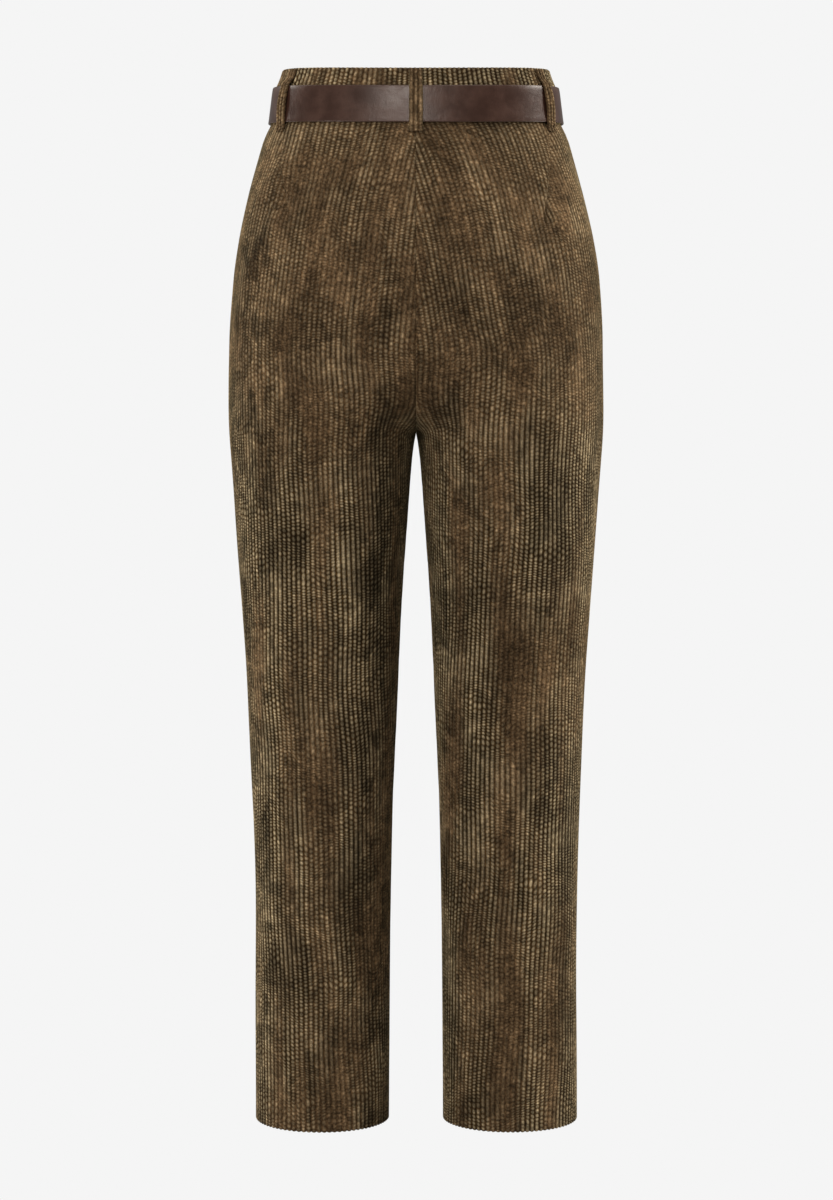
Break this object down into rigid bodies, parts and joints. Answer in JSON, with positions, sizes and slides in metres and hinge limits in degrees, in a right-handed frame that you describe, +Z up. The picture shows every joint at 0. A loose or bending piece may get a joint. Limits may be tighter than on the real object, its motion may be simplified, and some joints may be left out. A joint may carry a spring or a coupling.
{
  "type": "belted trousers",
  "caption": "High waisted, straight legged corduroy trousers in the hollow form they are worn in, with a plain leather belt through the loops.",
  "frame": {"origin": "middle of the waist at the height of the belt's centre line", "axes": "+Z up to the waistband, +Y towards the wearer's front, +X towards the wearer's right side"},
  "size_m": [0.3694, 0.2315, 1.0428],
  "materials": {
    "corduroy": "wide wale cotton corduroy, brushed pile, matt with a soft sheen at grazing angles",
    "belt_leather": "smooth dark brown leather, satin",
    "buckle_metal": "aged brass, satin",
    "zip_tape": "woven polyester tape",
    "zip_metal": "brass, satin",
    "hook_metal": "nickel plated steel"
  },
  "bodies": {
    "root": {"back_left": "corduroy", "back_right": "corduroy", "front_left": "corduroy", "front_right": "corduroy", "waistband": "corduroy", "loop_centre_back": "corduroy", "loop_back_right": "corduroy", "loop_back_left": "corduroy", "loop_front_right": "corduroy", "loop_front_left": "corduroy", "fly_facing": "corduroy", "fly_shield": "corduroy", "belt_strap": "belt_leather", "belt_keeper": "belt_leather", "belt_buckle": "buckle_metal", "belt_prong": "buckle_metal", "zip_tape_right": "zip_tape", "zip_tape_left": "zip_tape", "zip_teeth": "zip_metal", "zip_slider": "zip_metal", "waist_hook": "hook_metal", "waist_bar": "hook_metal"}
  },
  "joints": []
}
